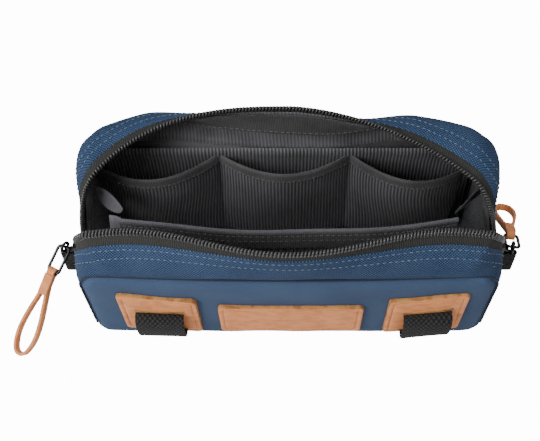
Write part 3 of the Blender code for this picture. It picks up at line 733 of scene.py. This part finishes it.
# Soft dents and a short fold below the seam: sums of bell curves over the panel.
x, z = grid[..., 0], grid[..., 2]
dents = (0.9 * np.exp(-((x + 4 * mm) / (30 * mm)) ** 2 - ((z - 57 * mm) / (5 * mm)) ** 2)
         - 0.7 * np.exp(-((x - 40 * mm) / (22 * mm)) ** 2 - ((z - 52 * mm) / (7 * mm)) ** 2)
         - 0.6 * np.exp(-((x + 48 * mm) / (16 * mm)) ** 2 - ((z - 50 * mm) / (10 * mm)) ** 2)
         + 0.25 * np.sin(x * 160 + z * 90) * np.sin(z * 120 + 1))
grid[..., 1] -= dents * mm * smooth((70 * mm - z) / (8 * mm)) * smooth(z / (10 * mm))
rearGrid = panelGrid(rearWall, walls["rearReach"] - 0.8 * mm, panelValues["puff"], 30, 140)
for side, grid in (("front", grid), ("rear", rearGrid)):
    panel = clothObject(side + "Panel", grid, panelValues["thick"], [panelCloth, darkLining], inside)
    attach(panel, side + "_shell")
    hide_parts(side + "_panel")
print("panels made")

# The groove of the turned-in seam between each panel and its band gets a thin near-black cord sunk below
# both: painted shadow in the seam.
for side, sign in (("front", -1), ("rear", 1)):
    line = halves[side]["seam"][8:-8] - np.array([0, sign * 1.5 * mm, 0])
    cord = sweepObject(side + "Seam", line, (0, 1, 0), roundSection(0.55 * mm, 8), [seamShade])
    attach(cord, side + "_shell")

# Linings follow the bands and the panels on the inside.
liningValues = {"thick": 0.5 * mm, "inset": 1.7 * mm, "rim": 2.6 * mm}
for side in ("front", "rear"):
    half = halves[side]
    shares = np.linspace(0.09, 1, 16)[:, None] * edgeDistance(side, 1.6 * mm)
    inset, rim = liningValues["inset"], liningValues["rim"]
    grid = stripBetween(half["seam"], half["edge"], shares, half["puff"], 0, inset, rim)
    # The rear end lining takes the lighter lining, painted light; the front one takes the dark lining.
    shade = paintedLitLining if side == "rear" else darkLining
    sheet = clothObject(side + "EndLining", grid, liningValues["thick"], [shade], inside)
    bendsWith(sheet, side)

reach = 101 * mm
x, z = np.meshgrid(np.linspace(-reach, reach, 100), np.linspace(3 * mm, 74 * mm, 26))
wallValues = {"front": (frontWall, 3.6 * mm), "rear": (rearWall, -3.6 * mm)}
for side, (wall, step) in wallValues.items():
    softness = 0.5 * mm * np.sin(x * 60 + 1) * np.sin(z * 45)
    depth = step * (1 + 0.8 * np.exp(-np.abs(z - 70 * mm) / (3 * mm)))
    grid = np.stack([x, wall(x, z) + depth + softness, z], axis=2)
    sheet = clothObject(side + "Lining", grid, liningValues["thick"], [liningCloth], inside)
    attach(sheet, side + "_shell")
    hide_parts(side + "_lining")
    side + "_panel"

x, y = np.meshgrid(np.linspace(-99 * mm, 99 * mm, 60), np.linspace(-21 * mm, 21 * mm, 20))
z = 3 * mm + 0.4 * mm * np.sin(x * 70) * np.sin(y * 90 + 1)
grid = np.stack([x, y, z], axis=2)
floorLining = clothObject("floorLining", grid, liningValues["thick"], [darkLining], below)
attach(floorLining, "base")
grid = np.stack([x, y, 0 * x + 2.0 * mm], axis=2)
board = clothObject("baseBoard", grid, 1.2 * mm, [bindingCloth], below)
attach(board, "base")
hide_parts("base_board")

x, y = np.meshgrid(np.linspace(-1, 1, 60), np.linspace(-30 * mm, 30 * mm, 24))
x = x * (100 * mm + 5 * mm * (1 - (y / (30 * mm)) ** 2))
grid = np.stack([x, y, 0 * x + 0.05 * mm], axis=2)
underside = clothObject("underside", grid, 1.5 * mm, [bandCloth], inside)
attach(underside, "base")
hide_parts("base_gusset")
print("linings and base made")

# Facing strip under the rear zip, with a hem line of stitches along its lower edge.
half = halves["rear"]
upper = half["upper"]
facingValues = {"near": 2.4 * mm, "far": 16 * mm, "thick": 0.7 * mm, "inset": 3.0 * mm}
high = edgeDistance("rear", facingValues["near"])[upper]
low = edgeDistance("rear", facingValues["far"])[upper]
shares = low + np.linspace(0, 1, 12)[:, None] * (high - low)
seam, edge, puff = half["seam"][upper], half["edge"][upper], half["puff"][upper]
grid = stripBetween(seam, edge, shares, puff, 0, facingValues["inset"])
# The hem hangs a little free of the wall, and the upper part has a shallow wave in it.
normal, facing = gridNormal(grid, inside)
hang = np.linspace(1, 0, 12)[:, None, None]
wave = np.sin(np.linspace(0, math.pi, 12))[:, None, None]
wave = wave * np.sin(np.linspace(0, 90, grid.shape[1]))[:, None]
grid = grid - normal * (1.6 * mm * hang**2 + 0.35 * mm * wave)
facingStrip = clothObject("rearFacing", grid, facingValues["thick"], [bindingCloth], inside)
bendsWith(facingStrip, "rear")
line = grid[1] - normal[1] * (facingValues["thick"] + 0.1 * mm)
hemValues = {"length": 1.9 * mm, "gap": 1.1 * mm, "radius": 0.2 * mm}
hem = stitchRow("rearFacingStitches", line[14:-14], -normal[1][14:-14], hemValues, threadGrey)
bendsWith(hem, "rear")

# Pocket with three bays: the top edge is stitched at the dividers and bellies forward between them.
bays = {
    "edges": (-103 * mm, -38 * mm, 33 * mm, 93 * mm), "ends": (24 * mm, 33 * mm, 33 * mm, 22 * mm),
    "belly": (13.5 * mm, 14.5 * mm, 13 * mm), "height": 69 * mm, "foot": 5 * mm, "hem": 4.6 * mm,
    "thick": 0.8 * mm,
}


def pocketLine(s):
    # y is the line between the dividers less the belly times a flattened half sine.
    x, y = [], []
    for k in range(3):
        a, b = bays["edges"][k], bays["edges"][k + 1]
        x.append(a + (b - a) * s)
        chord = bays["ends"][k] + (bays["ends"][k + 1] - bays["ends"][k]) * s
        y.append(chord - bays["belly"][k] * np.sin(math.pi * s) ** 0.85)
    return np.concatenate(x), np.concatenate(y)


x0, y0 = pocketLine(np.linspace(0, 1, 40))
z = np.linspace(bays["foot"], bays["height"] - bays["hem"], 26)[:, None]
wallY = rearWall(x0, z) - 4.6 * mm
deep = 0.45 + 0.55 * smooth((z - bays["foot"]) / (55 * mm))
y = wallY + (y0 - 33 * mm) * deep
grid = np.stack([x0 + 0 * z, y, z + 0 * x0], axis=2)
pocket = clothObject("organiserPocket", grid, bays["thick"], [liningCloth], behind)
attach(pocket, "rear_shell")
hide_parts("organiser_pocket")
z = np.linspace(bays["height"] - bays["hem"] - 0.4 * mm, bays["height"], 8)[:, None]
grid = np.stack([x0 + 0 * z, rearWall(x0, z) - 4.6 * mm + (y0 - 33 * mm) - 0.7 * mm, z + 0 * x0], axis=2)
binding = clothObject("organiserBinding", grid, 2.0 * mm, [bindingCloth], behind)
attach(binding, "rear_shell")
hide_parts("organiser_binding")
row = stitchRow("organiserStitches", grid[1] + (0, -0.1 * mm, 0), np.array([(0, -1, 0.2)] * len(x0), float),
                {"length": 1.8 * mm, "gap": 1.0 * mm, "radius": 0.2 * mm}, threadGrey)
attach(row, "rear_shell")

# Flat pocket inside the front: its black bound edge sweeps back at both ends, with a lighter strip along its
# top that is painted highlight.
slip = {"half": 84 * mm, "height": 80 * mm, "foot": 6 * mm, "footY": -30 * mm, "topY": -25 * mm,
        "sweep": 7 * mm, "thick": 0.8 * mm}
across = np.linspace(-slip["half"], slip["half"], 90)
x, z = np.meshgrid(across, np.linspace(slip["foot"], slip["height"], 20))


def slipY(x, z):
    rise = z / slip["height"]
    ripple = 0.5 * mm * np.sin(x * 85 + 0.5) * rise
    lean = slip["topY"] - slip["footY"] + slip["sweep"] * (x / slip["half"]) ** 2
    return slip["footY"] + lean * rise + ripple


grid = np.stack([x, slipY(x, z), z], axis=2)
slipPocket = clothObject("slipPocket", grid, slip["thick"], [liningCloth], before)
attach(slipPocket, "front_shell")
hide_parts("slip_pocket")
x = across
# Two strips on the pocket's top: the black binding, and above it a thin lighter strip that is painted
# highlight along the top edge.
for number, (low, high, cloth, out) in enumerate(((68 * mm, 80.4 * mm, bindingCloth, 0.4 * mm),
                                                  (80.2 * mm, 81.6 * mm, paintedLitBinding, 0.6 * mm))):
    z = np.linspace(low, high, 6)[:, None]
    grid = np.stack([x + 0 * z, slipY(x, z) + out, z + 0 * x], axis=2)
    thick = slip["thick"] + 2 * out
    edgeStrip = clothObject(f"slipBinding{number}", grid, thick, [cloth], before)
    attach(edgeStrip, "front_shell")
    if number:
        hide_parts("slip_binding")
for number, height in enumerate((78.6 * mm, 74.8 * mm)):
    line = np.stack([x, slipY(x, height + 0 * x) - 1.3 * mm, height + 0 * x], axis=1)
    row = stitchRow(f"slipStitches{number}", line, np.array([(0, -1, 0.3)] * len(x), float),
                    {"length": 1.9 * mm, "gap": 1.0 * mm, "radius": 0.2 * mm}, threadGrey)
    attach(row, "front_shell")
# Seam edges of the black binding stand free at both ends: a curled flap and the bound side of the pocket on
# the left, a narrow one on the right. The two on the left are painted lighter grey, as lit; the right one
# keeps the dark cloth.
flaps = {
    "leftFlap": {"line": [(-102.5, 10, 67), (-97, 5.5, 67), (-91, 1, 66.5), (-87.5, -1.5, 65.5)],
                 "low": -5 * mm, "high": 5 * mm, "cloth": "paintedLight"},
    "leftPocketEdge": {"line": [(-90.5, -18.2, 70), (-88, -18.6, 70.5), (-85, -19, 70)],
                       "low": -9 * mm, "high": 9 * mm, "cloth": "paintedLight"},
    "rightFlap": {"line": [(101.5, 10, 68), (96, 5, 68), (91, 0, 67), (88, -2, 66)],
                  "low": -2 * mm, "high": 2 * mm, "cloth": "dark"},
}
for name, value in flaps.items():
    line = np.array(value["line"], float) * mm
    line = resampled(line, np.linspace(0, pathLength(line), 24))
    taper = np.sqrt(np.sin(np.linspace(0.25, math.pi * 0.97, 24)))
    taper = taper if name == "leftFlap" else 1 + 0 * taper
    height = np.linspace(value["low"], value["high"], 7)[:, None] * taper
    curl = 1.2 * mm * np.sin(np.linspace(-1.2, 1.2, 7))[:, None] * np.linspace(0.3, 1, 24)
    grid = line[None] + np.stack([0.5 * curl, 0.5 * height - curl, height], axis=2)
    # Lit edges take the lighter copy of the binding, painted light; the others take the plain black binding.
    cloth = paintedLitBinding if value["cloth"] == "paintedLight" else bindingCloth
    sheet = clothObject(name, grid, 0.9 * mm, [cloth], behind)
    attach(sheet, "front_shell" if "Pocket" in name else "base")
print("pockets made")


# Leather patches: rounded outlines laid on the panel, with a raw edge and a pressed line inside it.
patches = {
    "patch_left": {"x": -67 * mm, "z": 35 * mm, "wide": 40 * mm, "tall": 40 * mm, "slope": -0.14},
    "patch_centre": {"x": 1 * mm, "z": 29.5 * mm, "wide": 75 * mm, "tall": 32 * mm, "slope": -0.01},
    "patch_right": {"x": 71 * mm, "z": 34.5 * mm, "wide": 40 * mm, "tall": 41 * mm, "slope": 0.14},
}


def panelFace(x, z):
    return frontWall(x, z) - panelValues["puff"]


for name, value in patches.items():
    # Rings from the back edge round to the face and in to a line: each is the outline inset.
    rings = ((0, -0.5), (-0.05, 0.6), (0, 1.6), (0.25, 2.05), (0.7, 2.2), (1.4, 2.15), (2.3, 2.05),
             (2.6, 1.7), (2.9, 2.05), (4, 2.15), (7, 2.2), (10, 2.25), (13, 2.25), (15.5, 2.25),
             (16.5, 2.25))
    halfSize = np.array([value["wide"], value["tall"]]) / 2
    line = strapSection(value["wide"], value["tall"], 2.5 * mm, 6)
    closed = np.vstack([line, line[:1]])
    flat = np.hstack([closed, 0 * closed[:, :1]])
    line = resampled(flat, np.linspace(0, pathLength(flat), 241)[:-1])[:, :2]
    rough = 0.16 * mm * np.sin(np.arange(240) * 2.9) * np.sin(np.arange(240) * 1.3 + 1)
    rows = []
    for inset, lift in rings:
        d = inset * mm
        ring = line * (1 - d / halfSize)
        if inset <= 0:
            ring = ring + unit(line) * rough[:, None]
        x, z = value["x"] + ring[:, 0], value["z"] + ring[:, 1] + value["slope"] * ring[:, 0]
        rows.append(np.stack([x, panelFace(x, z) - lift * mm, z], axis=1))
    grid = np.stack(rows)
    count = grid.shape[1]
    faces = [list(f) for f in quads(len(rows), count, closeCols=True)]
    faces.append([(len(rows) - 1) * count + k for k in range(count)])
    faces.append(list(range(count))[::-1])
    slots = np.zeros(len(faces), int)
    slots[:count * 3] = 1
    uv = np.stack([grid[..., 0], grid[..., 2]], axis=2)
    leathers = [leatherFace, leatherEdge]
    patchFace = outwards(toObject(name.replace("_", ""), grid, faces, leathers, uv, slots, sharp=50))
    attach(patchFace, "front_shell")
    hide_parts(name)

# Webbing loops come out of a slot in the patch, bow forwards and go back in below.
loops = {
    "webbing_loop_left": {"x": -67 * mm, "tilt": -0.06, "top": 38 * mm, "foot": 17 * mm, "stand": 6.6 * mm},
    "webbing_loop_right": {"x": 72 * mm, "tilt": 0.2, "top": 38 * mm, "foot": 17 * mm, "stand": 6.8 * mm},
}
for name, value in loops.items():
    turn = np.linspace(0, math.pi, 40)
    z = (value["top"] + value["foot"]) / 2 + (value["top"] - value["foot"]) / 2 * np.cos(turn)
    out = value["stand"] * np.sin(turn) ** 0.55
    x = value["x"] + 0 * z
    line = np.stack([x, panelFace(x, z) - 1.6 * mm - out, z], axis=1)
    across = (1, 0, value["tilt"])
    section = strapSection(25 * mm, 1.7 * mm, 0.7 * mm, 4)
    strap = sweepObject(name.replace("_", ""), line, across, section, [webbingCloth])
    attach(strap, "front_shell")
    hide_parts(name)
    # The raw edge of the slot shows above the strap as a brown bar.
    x = np.linspace(value["x"] - 12.6 * mm, value["x"] + 12.6 * mm, 30)
    z = np.linspace(value["top"] - 0.5 * mm, value["top"] + 3.4 * mm, 8)[:, None]
    z = z + value["tilt"] * (x - value["x"])
    x = x + 0 * z
    grid = np.stack([x, panelFace(x, z) - 2.5 * mm, z], axis=2)
    bar = clothObject(name.split("_")[2] + "SlotEdge", grid, 1.2 * mm, [leatherRaw], inside)
    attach(bar, "front_shell")
print("patches and webbing made")

# Zip ends: a folded tab, a slider with its eye, a wire link and a leather pull.
ends = {
    "left": {"side": -1, "heading": 30, "linkRise": -30, "pullRise": -38, "pull": 49 * mm, "wide": 13 * mm},
    "right": {"side": 1, "heading": 170, "linkRise": -30, "pullRise": -35, "pull": 49 * mm, "wide": 13 * mm},
}
for name, value in ends.items():
    side = value["side"]
    turn = np.linspace(-math.pi / 2, math.pi / 2, 9)
    out = np.concatenate([[-1.5 * mm, 5 * mm], 10.8 * mm + 1.1 * mm * np.cos(turn), [5 * mm, -1.5 * mm]])
    across = np.concatenate([[-1.1 * mm, -1.1 * mm], 1.1 * mm * np.sin(turn), [1.1 * mm, 1.1 * mm]])
    line = np.stack([side * (112.4 * mm + out), -8 * mm + across, 28.5 * mm + 0 * out], axis=1)
    section = strapSection(17 * mm, 1.2 * mm, 0.5 * mm)
    tab = sweepObject(name + "Tab", line, (0, 0, 1), section, [webbingCloth])
    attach(tab, "base")
    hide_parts("zip_tab_" + name)

    heading = math.radians(value["heading"])
    level = np.array([math.sin(heading) * side, -math.cos(heading), 0])
    axis = np.cross((0, 0, 1), level)
    pivot = np.array([side * 120.9 * mm, -9 * mm, 43 * mm])
    link = math.radians(value["linkRise"])
    pull = math.radians(value["pullRise"])
    up = np.array([0, 0, 1])
    run = level * math.cos(link) + up * math.sin(link)
    far = pivot + run * 15 * mm
    hang = level * math.cos(pull) + up * math.sin(pull)
    lift = np.cross(hang, axis)

    turn = 2 * math.pi * np.arange(28) / 28
    eye = pivot + 2.6 * mm * (np.cos(turn)[:, None] * level + np.sin(turn)[:, None] * up)
    ring = sweepObject(name + "SliderEye", eye, axis, roundSection(0.85 * mm, 10), [blackMetal], closed=True)
    body = np.array([(113.3, 0), (114.6, 0.4), (115.8, 0.4), (117.0, -1.2), (118.6, -2.0)]) * mm
    line = np.stack([side * body[:, 0], -9 * mm + 0 * body[:, 0], 43 * mm + body[:, 1]], axis=1)
    section = strapSection(3.2 * mm, 1.6 * mm, 0.6 * mm)
    arm = sweepObject(name + "SliderArm", line, (0, 1, 0), section, [blackMetal])
    line = np.stack([side * (113.7 * mm + 0 * body[:, 0]), 0 * body[:, 0] - 9 * mm,
                     np.linspace(38, 48, 5) * mm], axis=1)
    section = strapSection(8 * mm, 3.6 * mm, 0.9 * mm, 4)
    plate = sweepObject(name + "SliderBody", line, (0, 1, 0), section, [blackMetal])
    for part in (ring, arm, plate):
        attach(part, "slider_" + name)
    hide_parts("slider_" + name)

    # Link: a rounded rectangle of wire from the eye to the leather.
    outline = strapSection(7 * mm, 15 * mm, 2.0 * mm, 6)
    path = pivot + outline[:, :1] * axis + (7.5 * mm + outline[:, 1:]) * run
    section = roundSection(0.9 * mm, 10)
    wire = sweepObject(name + "Link", path, np.cross(run, axis), section, [blackMetal], closed=True)
    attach(wire, "link_" + name)
    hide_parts("pull_link_" + name)

    # Pull: a flat thong round the link's bar, its two strands side by side and then a long loop.
    long = value["pull"]
    t = np.linspace(0, 1, 60)
    reachOut = 2.2 * mm + (long - 2.2 * mm) * (1 - np.cos(t * math.pi)) / 2
    width = value["wide"] / 2 * np.sin(t * math.pi) ** 0.75 * (0.2 + 0.8 * smooth((t - 0.15) / 0.6))
    width = np.maximum(width, 1.15 * mm * (t < 0.6))
    one = far + hang * reachOut[:, None] + axis * width[:, None]
    two = far + hang * reachOut[:, None] - axis * width[:, None]
    path = np.concatenate([one, two[-2:0:-1]])
    turn = 2 * math.pi * np.arange(24) / 24
    wrap = far + 2.0 * mm * (np.cos(turn)[:, None] * hang + np.sin(turn)[:, None] * lift)
    tail = far + hang * np.linspace(1.5, 13, 8)[:, None] * mm + lift * 2.0 * mm
    strands = (("Pull", path, lift, 4.2, 1.8, 0.5), ("PullHead", wrap, axis, 4.8, 1.3, 0.4),
               ("PullTail", tail, axis, 5.6, 1.5, 0.4))
    for suffix, line, across, wide, thick, corner in strands:
        section = strapSection(wide * mm, thick * mm, corner * mm)
        closed = suffix != "PullTail"
        strand = sweepObject(name + suffix, line, across, section, [leatherFace], closed=closed)
        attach(strand, "pull_" + name)
        if suffix == "Pull":
            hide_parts("leather_pull_" + name)
print("zip ends made")

# White floor and soft studio lights: the key from the upper left, a broad one above, a weak fill.
floorPoints = np.array([(-1, -1, 0), (1, -1, 0), (1, 1, 0), (-1, 1, 0)]) * 3.0
floorMaterial, field, shader = newMaterial("floor")
shader.inputs["Base Color"].default_value = (0.9, 0.9, 0.9, 1)
shader.inputs["Roughness"].default_value = 1.0
# The camera sees the sweep as plain white, while the pouch only gets the floor's own soft light.
seen = field.node("ShaderNodeLightPath")
white = field.node("ShaderNodeEmission", {"Color": (1, 1, 1, 1), "Strength": 14})
output = floorMaterial.node_tree.nodes["Material Output"]
paper = Field(field.tree, shader.outputs[0])
field.feed(output.inputs[0], field.node("ShaderNodeMixShader", {0: seen, 1: paper, 2: white}))
floor = toObject("floor", floorPoints - (0, 0, 0.0002), [(0, 1, 2, 3)], [floorMaterial])
floor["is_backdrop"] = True
lights = {
    "key": {"at": (-0.55, -0.4, 0.55), "size": 0.45, "power": 7.5, "aim": (-0.06, 0, 0.05)},
    "above": {"at": (0.12, 0.0, 1.1), "size": 0.9, "power": 8, "aim": (0, 0, 0.05)},
    "fill": {"at": (0.6, -0.7, 0.7), "size": 0.9, "power": 1.5, "aim": (0, 0, 0.05)},
}
for name, value in lights.items():
    data = bpy.data.lights.new(name, "AREA")
    data.size = value["size"]
    data.energy = value["power"]
    lamp = bpy.data.objects.new(name, data)
    lamp.location = value["at"]
    toward = Vector(value["aim"]) - Vector(value["at"])
    lamp.rotation_euler = toward.to_track_quat("-Z", "Y").to_euler()
    bpy.context.scene.collection.objects.link(lamp)
world = bpy.data.worlds.new("world")
world.use_nodes = True
world.node_tree.nodes["Background"].inputs[0].default_value = (1, 1, 1, 1)
world.node_tree.nodes["Background"].inputs[1].default_value = 0.16
bpy.context.scene.world = world
print("lights made")

low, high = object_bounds()
print("visual", [round(v, 4) for v in low], [round(v, 4) for v in high])
